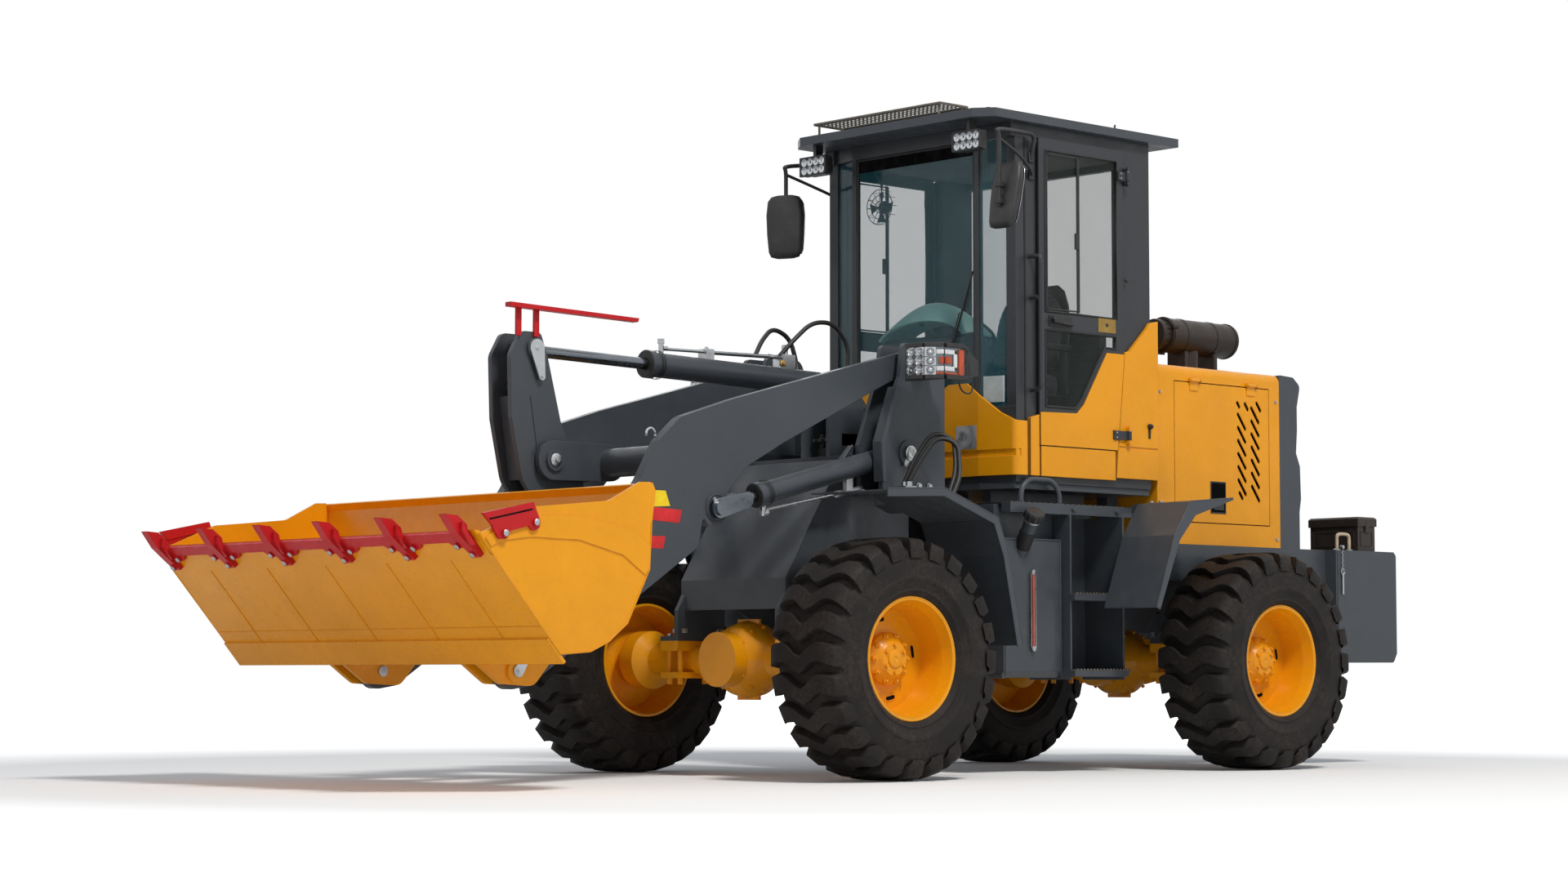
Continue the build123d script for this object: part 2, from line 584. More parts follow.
def bucket():
    line = bucket_shell_line()
    inner = offset_line(line, BUCKET_SHELL)
    wrap = side_plate(line + inner[::-1], -BUCKET_HALF, BUCKET_HALF)
    side = side_plate([(2495, 1026), (2086, 552, 20), (1929, 563, 60), (1834, 603, 60), (1730, 680, 60),
                       (1613, 902, 80), (1602, 1097), (1583, 1229), (1614, 1264), (1667, 1262),
                       (1833, 1179, 60), (2215, 1142, 60)],
                      BUCKET_HALF - BUCKET_SIDE_PLATE, BUCKET_HALF)
    # lugs: two pairs for the arms, one pair for the link
    half = side
    lug_y = ARM_Y - ARM_THICK / 2 - SIDE_GAP - LUG_PLATE
    root = offset_line(line, BUCKET_SHELL / 2)[2:7]
    lug = [lip(30, -BUCKET_SHELL / 2), lip(52, 0), (1900, 435, 40), (1720, 425, 60), (1600, 560, 40), (1560, 760)]
    lug = lug + root[::-1]
    for y in (lug_y, ARM_Y + ARM_THICK / 2 + SIDE_GAP):
        half += side_plate(lug, y, y + LUG_PLATE)
    outer = ARM_Y + ARM_THICK / 2 + SIDE_GAP + LUG_PLATE
    half += pin_y(BUCKET_PIN, BIG_PIN_R, lug_y, outer)
    half += pin_y(BUCKET_PIN, 52, outer, outer + 12)
    y = LEVER_INNER
    half += side_plate([(1500, 700, 40), (1510, 800, 50), (1606, 960), root[4], root[3], root[2],
                        (1690, 640, 40)], y, y + LUG_PLATE)
    half += pin_y(LINK_PIN, 44, y + LUG_PLATE, y + LUG_PLATE + 12)
    edge = side_plate([lip(EDGE_BACK, 0), lip(EDGE_BACK, -EDGE_THICK), lip(LIP_REACH - EDGE_THICK, -EDGE_THICK),
                       lip(LIP_REACH, 0)], -BUCKET_HALF + BUCKET_SIDE_PLATE, BUCKET_HALF - BUCKET_SIDE_PLATE)
    band = side_plate([(2440, 975), (2395, 1000), (2240, 1020), (1990, 1015), (1760, 960), (1640, 880), (1622, 905),
                       (1612, 1000), (1700, 1062), (1960, 1110), (2215, 1110), (2420, 1045), (2470, 1010)],
                      BUCKET_HALF, BUCKET_HALF + 5)
    strip = side_plate([lip(-40, -5), lip(-40, 10), lip(90, 10), lip(90, -5)], -BUCKET_HALF, BUCKET_HALF)
    return wrap + both_sides(half) + edge + both_sides(band) + strip


def offset_line(points, distance):
    """Open line moved to its right-hand side by a distance, mitred at the corners."""
    moved = []
    for i, (x, z) in enumerate(points):
        before = points[max(i - 1, 0)]
        after = points[min(i + 1, len(points) - 1)]
        n1 = normal((before[0], before[1]), (x, z)) if i > 0 else normal((x, z), after)
        n2 = normal((x, z), after) if i < len(points) - 1 else n1
        bx, bz = n1[0] + n2[0], n1[1] + n2[1]
        scale = 2 * distance / (bx * bx + bz * bz)
        moved.append((x + bx * scale, z + bz * scale))
    return moved


def normal(a, b):
    """Unit normal to the right of the direction from a to b."""
    dx, dz = b[0] - a[0], b[1] - a[1]
    length = hypot(dx, dz)
    return (dz / length, -dx / length)


def lip(u, v):
    """Side-view point at u along the floor sheet from the heel, and v outside it."""
    slope = radians(FLOOR_SLOPE)
    return (HEEL[0] + u * cos(slope) + v * sin(slope), HEEL[1] + u * sin(slope) - v * cos(slope))


def bucket_teeth():
    """Bolted teeth on the lip's outer face with scalloped wear bars between them."""
    spacing = 2 * TOOTH_SPREAD / (TOOTH_COUNT - 1)
    shank = [lip(TOOTH_START, 0), lip(LIP_REACH, 0), lip(LIP_REACH + 20, -10), lip(TOOTH_REACH - 42, 2),
             lip(TOOTH_REACH, TIP_V), lip(TOOTH_REACH - 90, 50), lip(TOOTH_START + 60, 34), lip(TOOTH_START, 22)]
    wing = [lip(BAR_TOP - 60, BAR_THICK), lip(BAR_TOP - 4, BAR_THICK), lip(BAR_TOP + 52, 16), lip(BAR_TOP + 30, 34),
            lip(BAR_TOP - 50, 34)]
    bolt_u = BAR_BOTTOM + 14
    pieces = []
    for i in range(TOOTH_COUNT):
        y = i * spacing - TOOTH_SPREAD
        tooth = side_plate(shank, y - TOOTH_HALF, y + TOOTH_HALF)
        tooth += side_plate(wing, y, y + TOOTH_HALF + 20)
        if i > 0:
            tooth += wear_bar(y - spacing + TOOTH_HALF, y - TOOTH_HALF)
        pieces.append(tooth)
    whole = pieces[0].fuse(*pieces[1:])
    heads = []
    for i in range(TOOTH_COUNT):
        y = i * spacing - TOOTH_SPREAD
        heads.append(lip_bolt(TOOTH_START + 22, y, 24))
        for offset in (-72, 72):
            if abs(y + offset) < TOOTH_SPREAD:
                heads.append(lip_bolt(bolt_u, y + offset, BAR_THICK))
    return whole.fuse(*heads)


def wear_bar(y0, y1):
    """Bar between two teeth whose lower edge drops in a lobe at each bolt."""
    plane = Plane(origin=(HEEL[0], 0, HEEL[1]), x_dir=(cos(radians(FLOOR_SLOPE)), 0, sin(radians(FLOOR_SLOPE))),
                  z_dir=(sin(radians(FLOOR_SLOPE)), 0, -cos(radians(FLOOR_SLOPE))))
    lobe = 100
    rise = 28
    edge = [(BAR_TOP, y0), (BAR_TOP, y1), (BAR_BOTTOM, y1), (BAR_BOTTOM, y1 - lobe + rise),
            (BAR_BOTTOM + rise, y1 - lobe), (BAR_BOTTOM + rise, y0 + lobe), (BAR_BOTTOM, y0 + lobe - rise), (BAR_BOTTOM, y0)]
    return extrude(plane * outline([(u, -y) for u, y in edge]), BAR_THICK, dir=plane.z_dir)


def lip_bolt(u, y, height):
    """Round bolt head standing on the lip's outer face."""
    low = lip(u, height - 4)
    high = lip(u, height + 12)
    return rod((low[0], y, low[1]), (high[0], y, high[1]), 15)


def side_cutters():
    """Bolt-on cutters that stand above the bucket's side plates."""
    y = BUCKET_HALF + 5
    blade = side_plate([(2492, 1106), (2238, 1158), (2214, 1104), (2440, 1052)], y, y + CUTTER_THICK)
    blade += side_plate([(2492, 1106), (2238, 1158), (2224, 1124), (2454, 1070)], y - 5, y)
    foot = side_plate([(2446, 1054), (2212, 1106), (2204, 1058, 18), (2240, 1040, 18), (2262, 1062), (2355, 1040),
                       (2372, 1008, 18), (2412, 1006, 18)], y, y + CUTTER_THICK)
    bolts = [rod((x, y + CUTTER_THICK - 2, z), (x, y + CUTTER_THICK + 11, z), 16) for x, z in ((2384, 1030), (2229, 1078))]
    return both_sides(blade + foot + bolts)


# ---------------------------------------------------------------- cylinders
def barrel_and_rod(base, eye, barrel_len, barrel_r, rod_r, base_half, base_bore, eye_half, fork=None):
    """A cylinder's two pieces in side view at y = 0: the barrel on its base pin, and the rod."""
    length = hypot(eye[0] - base[0], eye[1] - base[1])
    p0 = along(base, eye, 55)
    p1 = along(base, eye, barrel_len)
    p2 = along(base, eye, barrel_len - 36)
    barrel = rod((p0[0], 0, p0[1]), (p1[0], 0, p1[1]), barrel_r)
    barrel += rod((p2[0], 0, p2[1]), (p1[0], 0, p1[1]), barrel_r + 8)
    barrel += pin_y(base, base_bore + 26, -base_half, base_half)
    barrel -= pin_y(base, base_bore + RUNNING_FIT, -base_half - 60, base_half + 60)
    bore_end = along(base, eye, barrel_len + 20)
    bore_start = along(base, eye, 140)
    barrel -= rod((bore_start[0], 0, bore_start[1]), (bore_end[0], 0, bore_end[1]), rod_r + RUNNING_FIT)
    piston = along(base, eye, length - 40 if fork is None else length - fork)
    tail = along(base, eye, barrel_len - 200)
    stem = rod((tail[0], 0, tail[1]), (piston[0], 0, piston[1]), rod_r)
    if fork is None:
        stem += pin_y(eye, 50, -eye_half, eye_half)
    return barrel, stem


def lift_cylinders():
    fork = 170
    barrel, stem = barrel_and_rod(LIFT_BASE, LIFT_EYE, LIFT_BARREL_LEN, LIFT_BARREL_R, LIFT_ROD_R,
                                  52, BIG_PIN_R, 0, fork)
    root = along(LIFT_BASE, LIFT_EYE, hypot(LIFT_EYE[0] - LIFT_BASE[0], LIFT_EYE[1] - LIFT_BASE[1]) - fork)
    gap = ARM_THICK / 2 + SIDE_GAP
    for y in (gap, -gap - 20):
        stem += capsule(LIFT_EYE, root, 46, 34, y, y + 20)
    stem += capsule(along(root, LIFT_EYE, 2), along(root, LIFT_BASE, 8), 30, 30, -gap, gap)
    stem += pin_y(LIFT_EYE, 34, gap + 20, gap + 34)
    for name, shape in (("lift_barrels", barrel), ("lift_rods", stem)):
        placed = Pos(0, ARM_Y, 0) * shape
        save(both_sides(placed), name)
    return Pos(0, ARM_Y, 0) * barrel


def tilt_cylinder():
    barrel, stem = barrel_and_rod(TILT_BASE, LEVER_TOP, TILT_BARREL_LEN, TILT_BARREL_R, TILT_ROD_R,
                                  64, PIN_R, LEVER_INNER - SIDE_GAP)
    save(barrel, "tilt_barrel")
    save(stem, "tilt_rod")
    return barrel


def cylinder_pipes(lift_barrel, tilt_barrel):
    """Steel pipes along the tilt barrel and the lift barrels, and the two hoses over the tilt barrel."""
    pipe = rod((555, 0, 1972), (-200, 0, 1984), PIPE_R) + rod((250, -24, 1976), (-200, -24, 1984), PIPE_R)
    riser = rod((555, 0, 1940), (555, 0, 2004), 12)
    port = block(-270, -190, -42, 30, 1915, 1996) + rod((-230, 0, 1990), (-230, 0, 2032), 14)
    clamp = block(240, 290, -40, 18, 1940, 1990)
    pipes = pipe + riser + port + clamp - tilt_barrel
    save(pipes, "tilt_pipes")
    near = [(-190, 8, 1990), (-262, 32, 2072), (-376, 34, 2162), (-520, 34, 2170), (-620, 34, 2070), (-612, 30, 1940),
            (-538, 10, 1880)]
    far = [(-60, -24, 1986), (-132, -58, 2062), (-235, -92, 2136), (-350, -92, 2092), (-384, -84, 1978), (-366, -48, 1892)]
    hoses = [hose(points, HOSE_R) - tilt_barrel - pipes for points in (near, far)]
    save(Compound(hoses), "tilt_hoses")
    lower = rod((345, ARM_Y, 1216), (-250, ARM_Y, 1335), PIPE_R)
    crimp = rod((-120, ARM_Y, 1309), (-262, ARM_Y, 1337.4), 14)
    elbow = rod((345, ARM_Y, 1196), (345, ARM_Y, 1250), 12)
    saddle = block(-210, -170, ARM_Y - 12, ARM_Y + 12, 1322, 1400)
    save(both_sides(lower + crimp + elbow + saddle - lift_barrel), "lift_pipes")


def steering_cylinders():
    """Steering cylinders lie flat: the same pieces, turned from side view into plan."""
    for name, side in (("left", 1), ("right", -1)):
        base, eye = STEER_BASE, STEER_EYE
        length = hypot(eye[0] - base[0], eye[1] - base[1])
        tip = along(base, eye, STEER_BARREL_LEN)
        barrel = rod((*along(base, eye, 30), 0), (*tip, 0), STEER_BARREL_R)
        barrel += Pos(*base, 0) * Cylinder(38, 56)
        barrel -= Pos(*base, 0) * Cylinder(16 + RUNNING_FIT, 120)
        barrel -= rod((*along(base, eye, 90), 0), (*along(base, eye, STEER_BARREL_LEN + 20), 0), STEER_ROD_R + RUNNING_FIT)
        stem = rod((*along(base, eye, 290), 0), (*along(base, eye, length - 24), 0), STEER_ROD_R)
        stem += Pos(*eye, 0) * Cylinder(32, 56)
        for part_name, shape in (("barrel", barrel), ("rod", stem)):
            placed = Pos(0, 0, STEER_Z) * shape
            if side < 0:
                placed = mirror(placed, about=Plane.XZ)
            save(placed, f"steering_{part_name}_{name}")


# ---------------------------------------------------------------- rear frame
def rear_frame():
    inner_y = REAR_HALF - REAR_PLATE
    side = side_plate([
        (REAR_FRONT_X, REAR_TOP_Z), (REAR_FRONT_X, 760, 40), (-1900, REAR_BOTTOM_Z), (-2330, REAR_BOTTOM_Z),
        (-2430, 800), (-2850, 800), (-2950, REAR_BOTTOM_Z), (REAR_END_X, REAR_BOTTOM_Z), (REAR_END_X, REAR_TOP_Z)],
        inner_y, REAR_HALF)
    foot = block(REAR_X - AXLE_PAD_HALF, REAR_X + AXLE_PAD_HALF, AXLE_PAD_Y - 60, REAR_HALF,
                 HUB_Z + AXLE_TUBE_R + 18, HUB_Z + AXLE_TUBE_R + 40)
    leg = block(REAR_X - AXLE_PAD_HALF, REAR_X + AXLE_PAD_HALF, inner_y, REAR_HALF, HUB_Z + AXLE_TUBE_R + 30, 820)
    half = side + foot + leg
    frame = both_sides(half)
    for x in (REAR_FRONT_X, -2300, -3120, REAR_END_X + 40):
        frame += block(x - 30, x, -inner_y, inner_y, 800, 1090)
    wedge = [(REAR_FRONT_X - 30, -inner_y), (REAR_FRONT_X - 30, inner_y), (REAR_FRONT_X + 60, inner_y - 60),
             (PIVOT_X - 40, HINGE_EYE_R - 6), (PIVOT_X - 40, -HINGE_EYE_R + 6), (REAR_FRONT_X + 60, -inner_y + 60)]
    gap = 8
    for z in (HINGE_UPPER_Z, HINGE_LOWER_Z):
        for low in (z - gap - HINGE_PLATE, z + HINGE_PLATE + gap):
            frame += plan_plate(wedge, low, low + HINGE_PLATE)
            frame += Pos(PIVOT_X, 0, low) * Cylinder(HINGE_EYE_R, HINGE_PLATE, align=(Align.CENTER, Align.CENTER, Align.MIN))
        pin = rod((PIVOT_X, 0, z - gap - HINGE_PLATE - 14), (PIVOT_X, 0, z + 2 * HINGE_PLATE + gap + 20), PIVOT_PIN_R)
        frame += pin
    front_wall = block(REAR_FRONT_X - 30, REAR_FRONT_X, -inner_y, inner_y, HINGE_LOWER_Z - gap - HINGE_PLATE, 1090)
    throat = block(REAR_FRONT_X, REAR_FRONT_X + 60, -60, 60, HINGE_LOWER_Z + 2 * HINGE_PLATE + gap, HINGE_UPPER_Z - gap - HINGE_PLATE)
    ears = [block(STEER_BASE[0] - 50, REAR_FRONT_X + 4, s * 170, s * 270, STEER_Z + o, STEER_Z + o + 18)
            for s in (1, -1) for o in (-59, 41)]
    steer_pins = [rod((STEER_BASE[0], s * STEER_BASE[1], STEER_Z - 59), (STEER_BASE[0], s * STEER_BASE[1], STEER_Z + 59), 16)
                  for s in (1, -1)]
    windows = [block(REAR_FRONT_X - 31, REAR_FRONT_X + 1, s * 160, s * 290, STEER_Z - 50, STEER_Z + 50) for s in (1, -1)]
    skirt = block(HOOD_FRONT_X, REAR_END_X, HOOD_HALF - 12, HOOD_HALF, 950, HOOD_BOTTOM_Z)
    for x in (HOOD_FRONT_X - 12, -3210, REAR_END_X + 12):
        skirt += block(x - 12, x + 12, inner_y + 10, HOOD_HALF - 6, 980, 1100)
    frame = frame + front_wall + throat + both_sides(skirt)
    for w in windows:
        frame -= w
    return frame + ears + steer_pins


def counterweight():
    """Cast ballast across the frame's end, with a tow jaw and its pin bore."""
    body = side_plate([(BALLAST_FRONT_X, BALLAST_TOP_Z), (BALLAST_FRONT_X, BALLAST_BOTTOM_Z, 25),
                       (BALLAST_BACK_X + 30, BALLAST_BOTTOM_Z, 25), (BALLAST_BACK_X, BALLAST_BOTTOM_Z + 50),
                       (BALLAST_BACK_X, BALLAST_TOP_Z - 20, 15), (BALLAST_BACK_X + 20, BALLAST_TOP_Z)],
                      -BALLAST_HALF, BALLAST_HALF)
    jaw = block(BALLAST_BACK_X - 1, TOW_PIN[0] + 90, -80, 80, *TOW_JAW_Z)
    bore = Pos(*TOW_PIN, (TOW_JAW_Z[0] + BALLAST_TOP_Z) / 2) * Cylinder(TOW_BORE_R, BALLAST_TOP_Z - TOW_JAW_Z[0] + 200)
    return body - jaw - bore


def tail_box():
    """Two battery boxes with overhanging lids on the ballast."""
    body = block(-3800, -3950, 370, 685, BALLAST_TOP_Z, BALLAST_TOP_Z + 135)
    lid = block(-3792, -3958, 362, 693, BALLAST_TOP_Z + 135, BALLAST_TOP_Z + 185)
    return both_sides(body + chamfer(lid.edges().group_by(Axis.Z)[-1], 10))


def engine_block():
    return block(-2330, -3120, -260, 260, 820, 1560)


# ---------------------------------------------------------------- hood
HOOD_DOOR = (-2330, -3090, 1250, 1960)
SLOT_PITCH = 68
SLOT_TILT = 52


def hood():
    outer = block(HOOD_BACK_X, HOOD_FRONT_X, -HOOD_HALF, HOOD_HALF, HOOD_BOTTOM_Z, HOOD_TOP_Z)
    outer = fillet(outer.edges().filter_by(Axis.X).group_by(Axis.Z)[-1], 45)
    inner = block(HOOD_BACK_X - 1, HOOD_FRONT_X - SHEET, -HOOD_HALF + SHEET, HOOD_HALF - SHEET,
                  HOOD_BOTTOM_Z - 1, HOOD_TOP_Z - SHEET)
    inner = fillet(inner.edges().filter_by(Axis.X).group_by(Axis.Z)[-1], 39)
    shell = outer - inner
    x1, x0, z0, z1 = HOOD_DOOR
    for s in (1, -1):
        shell -= block(x0 - CLEAR, x1 + CLEAR, s * (HOOD_HALF - 40), s * (HOOD_HALF + 1), z0 - CLEAR, z1 + CLEAR)
    brackets = []
    for x in LID_HINGE_X:
        brackets.append(rod((x - 45, LID_AXIS[0], LID_AXIS[1]), (x + 45, LID_AXIS[0], LID_AXIS[1]), LID_PIN_R))
        for low in (x - 45, x + 33):
            brackets.append(block(low, low + 12, HOOD_HALF, LID_AXIS[0] + 9, LID_AXIS[1] - 2, LID_AXIS[1] + 10))
    return shell + brackets + [mirror(b, about=Plane.XZ) for b in brackets]


def slot_field():
    """Middle and half length of each slanted slot: two full columns, with short ones in the corners."""
    front = [(-2868, 1782 - SLOT_PITCH * row, 58) for row in range(6)]
    back = [(-2978, 1821 - SLOT_PITCH * row, 58) for row in range(7)]
    return front + back + [(-2842, 1868, 24), (-2908, 1862, 30), (-3008, 1866, 36), (-2858, 1398, 30)]


def hood_doors():
    x1, x0, z0, z1 = HOOD_DOOR
    for name, side in (("left", 1), ("right", -1)):
        panel = block(x0, x1, HOOD_HALF - SHEET, HOOD_HALF, z0, z1)
        cuts = []
        for cx, cz, half in slot_field():
            end = half - 8
            slot = side_plate([(-half, 0), (-end, 10), (end, 10), (half, 0), (end, -10), (-end, -10)], -SHEET, SHEET)
            cuts.append(Pos(cx, HOOD_HALF - SHEET / 2, cz) * Rot(0, -SLOT_TILT, 0) * slot)
        for c in cuts:
            panel -= c
        for x in LID_HINGE_X:
            panel += rod((x - 32, *LID_AXIS), (x + 32, *LID_AXIS), 9)
            panel += block(x - 32, x + 32, HOOD_HALF, HOOD_HALF + 5, z1 - 40, z1)
            panel += block(x - 32, x + 32, HOOD_HALF + 1, HOOD_HALF + 5, z1, LID_AXIS[1])
            panel -= rod((x - 33, *LID_AXIS), (x + 33, *LID_AXIS), LID_PIN_R + RUNNING_FIT)
        if side < 0:
            panel = mirror(panel, about=Plane.XZ)
        save(panel, f"hood_door_{name}")


def rear_grille():
    body = side_plate([(HOOD_BACK_X, HOOD_BOTTOM_Z), (HOOD_BACK_X, HOOD_TOP_Z, 10), (HOOD_BACK_X - 120, HOOD_TOP_Z - 6, 30),
                       (HOOD_BACK_X - 178, HOOD_TOP_Z - 50, 30), (HOOD_BACK_X - 150, HOOD_TOP_Z - 160),
                       (HOOD_BACK_X - 150, 1760), (HOOD_BACK_X - 140, 1640), (HOOD_BACK_X - 172, 1570),
                       (HOOD_BACK_X - 178, 1400), (HOOD_BACK_X - 165, 1330), (HOOD_BACK_X - 165, HOOD_BOTTOM_Z)],
                      -HOOD_HALF, HOOD_HALF)
    mouth = block(HOOD_BACK_X - 200, HOOD_BACK_X + 1, -HOOD_HALF + 90, HOOD_HALF - 90, HOOD_BOTTOM_Z + 70, HOOD_TOP_Z - 120)
    bars = [block(HOOD_BACK_X - 120, HOOD_BACK_X - 60, -HOOD_HALF + 80, HOOD_HALF - 80, z, z + 14)
            for z in range(1230, 1920, 60)]
    return body - mouth + bars


def air_cleaner():
    drum = rod((-2760, 200, 2262), (-3300, 200, 2262), 92)
    cap = rod((-2700, 200, 2262), (-2760, 200, 2262), 78)
    neck = rod((-2980, 200, HOOD_TOP_Z), (-2980, 200, 2200), 56)
    return drum + cap + neck


# ---------------------------------------------------------------- cab
def cab_floor():
    floor = plan_plate([(CAB_FRONT_X, -440), (CAB_FRONT_X, 440), (CAB_CORNER_X, CAB_HALF - 10), (CAB_BACK_X, CAB_HALF - 10),
                        (CAB_BACK_X, -CAB_HALF + 10), (CAB_CORNER_X, -CAB_HALF + 10)], CAB_FLOOR_Z - 30, CAB_FLOOR_Z)
    mounts = [block(x, x - 80, s * 360, s * 430, REAR_TOP_Z, CAB_FLOOR_Z - 30) for x in (-1800, -2060) for s in (1, -1)]
    rails = [block(-1200, REAR_FRONT_X - 40, s * 380, s * 430, CAB_FLOOR_Z - 90, CAB_FLOOR_Z - 30) for s in (1, -1)]
    seat_box = block(-1950, -1650, -200, 200, CAB_FLOOR_Z, SEAT_BASE_Z)
    return floor + mounts + rails + seat_box


def door_bracket(z, face_y):
    """Two ears and the pin of one door hinge, standing out from a face."""
    bracket = Pos(*DOOR_AXIS, z) * Cylinder(DOOR_PIN_R, 100)
    for low in (z - 42, z + 24):
        bracket += block(DOOR_AXIS[0] - 14, DOOR_AXIS[0] + 10, face_y, DOOR_AXIS[1] + 8, low, low + 18)
    return bracket


def cab_frame():
    """Hollow post frame: windscreen surround, door posts, back frame and rails."""
    h = CAB_HALF
    half = block(CAB_CORNER_X, CAB_CORNER_X - POST, h - POST, h, CAB_FLOOR_Z, CAB_EAVES_Z)
    half += block(CAB_DOOR_FRONT_X + 5, CAB_DOOR_FRONT_X + 75, h - POST, h, CAB_FLOOR_Z, CAB_EAVES_Z)
    half += block(CAB_DOOR_BACK_X - 5, CAB_BACK_X, h - POST, h, CAB_FLOOR_Z, CAB_EAVES_Z)
    half += block(CAB_FRONT_X - 10, CAB_BACK_X, h - POST, h, CAB_EAVES_Z - 70, CAB_EAVES_Z)
    half += block(CAB_CORNER_X, CAB_BACK_X, h - POST, h, CAB_FLOOR_Z, CAB_SILL_Z - 5)
    half += plan_plate([(CAB_FRONT_X, 440), (CAB_FRONT_X, 410), (CAB_FRONT_X - 30, 410), (CAB_FRONT_X - 30, 440)],
                       CAB_BELT_Z, CAB_EAVES_Z)
    half += door_bracket(DOOR_HINGE_Z[1], h)
    half += tube_path([(GRAB_X, h - 5, 2300), (GRAB_X, h + 65, 2300), (GRAB_X, h + 65, 1850), (GRAB_X, h - 5, 1850)], 12, 30)
    frame = both_sides(half)
    top_rail = [(CAB_FRONT_X, -440), (CAB_FRONT_X, 440), (CAB_CORNER_X, h), (CAB_CORNER_X - 40, h),
                (CAB_FRONT_X - 40, 430), (CAB_FRONT_X - 40, -430), (CAB_CORNER_X - 40, -h), (CAB_CORNER_X, -h)]
    frame += plan_plate(top_rail, CAB_EAVES_Z - 70, CAB_EAVES_Z)
    frame += plan_plate(top_rail, CAB_FLOOR_Z, CAB_BELT_Z)
    frame += block(CAB_BACK_X, CAB_BACK_X + 40, -h + POST, h - POST, CAB_EAVES_Z - 110, CAB_EAVES_Z)
    frame += block(CAB_BACK_X, CAB_BACK_X + 40, -h + POST, h - POST, CAB_FLOOR_Z, 2060)
    return frame


def cab_roof():
    """Flat roof slab that overhangs all round, with a low crown."""
    top = plan_plate([(ROOF_FRONT_X, -ROOF_HALF + 90), (ROOF_FRONT_X, ROOF_HALF - 90), (ROOF_FRONT_X - 70, ROOF_HALF),
                      (ROOF_BACK_X, ROOF_HALF), (ROOF_BACK_X, -ROOF_HALF), (ROOF_FRONT_X - 70, -ROOF_HALF)],
                     CAB_EAVES_Z, ROOF_TOP_Z - 22)
    crown = block(ROOF_FRONT_X - 110, ROOF_BACK_X + 90, -ROOF_HALF + 90, ROOF_HALF - 90, ROOF_TOP_Z - 26, ROOF_TOP_Z)
    return top + chamfer(crown.edges().group_by(Axis.Z)[-1], 24)


def cab_glass():
    h = CAB_HALF
    wind = block(CAB_FRONT_X - 16, CAB_FRONT_X - 10, -408, 408, CAB_BELT_Z, CAB_EAVES_Z - 72)
    side = [plan_plate([(CAB_FRONT_X - 8, s * 442), (CAB_CORNER_X - 8, s * (h - POST - 2)),
                        (CAB_CORNER_X - 14, s * (h - POST - 2)), (CAB_FRONT_X - 14, s * 442)],
                       CAB_BELT_Z, CAB_EAVES_Z - 72) for s in (1, -1)]
    quarter = [block(CAB_CORNER_X - POST - 1, CAB_DOOR_FRONT_X + 76, s * (h - 20), s * (h - 14), CAB_SILL_Z - 5, CAB_EAVES_Z - 72)
               for s in (1, -1)]
    back = block(CAB_BACK_X + 16, CAB_BACK_X + 22, -h + POST + 1, h - POST - 1, 2060, CAB_EAVES_Z - 112)
    return Compound([wind, back] + side + quarter)


def cab_panels():
    """Body-colour outer panels: wrapped front corners, sill, door-post strip and rear quarter."""
    h = CAB_HALF
    face = h + PANEL
    front = plan_plate([(CAB_FRONT_X, 57), (CAB_FRONT_X + 12, 57), (CAB_FRONT_X + 12, 441), (-1139, face, 45),
                        (-1213, face), (-1213, h), (CAB_CORNER_X, h), (CAB_FRONT_X, 440)], CAB_SKIRT_Z, 1890)
    front -= front_plate([(50, 1770), (100, 1820), (246, 1890), (365, 1890), (565, 1740), (h, 1700), (h + 60, 1690),
                          (h + 60, 1900), (50, 1900)], -1240, -1090)
    front -= block(-1107, -1090, 56, 441, 1527, 1560)
    front -= plan_plate([(-1090, 441), (-1107, 441), (-1145, face - 6), (-1168, face - 6), (-1168, face + 9),
                         (-1090, face + 9)], 1527, 1560)
    sill = block(-1309, -1858, h, face, CAB_SKIRT_Z, CAB_SILL_Z - 5)
    strip = side_plate([(-1236, CAB_SKIRT_Z), (-1236, 1716), (-1298, 1732), (-1298, CAB_SKIRT_Z)], h, face)
    back = HOOD_FRONT_X + 3
    quarter = side_plate([(-1866, CAB_SKIRT_Z + 13), (back, CAB_SKIRT_Z + 13), (back, 2250), (-2130, 2240, 20),
                          (-2100, 2205), (-1971, 2085), (-1936, 2080), (-1934, 2066), (-1881, CAB_SILL_Z)], h, face)
    quarter -= block(-1885, back - 1, face - 5, face + 1, 1593, 1607)
    return both_sides(front + sill + strip + quarter + door_bracket(DOOR_HINGE_Z[0], face))


def door_back_edge(z):
    """X of the door's rear edge: upright above the skirt, leaning forward below it."""
    lean = max(0, (2066 - z) / (2066 - CAB_SILL_Z))
    return CAB_DOOR_BACK_X + 53 * lean


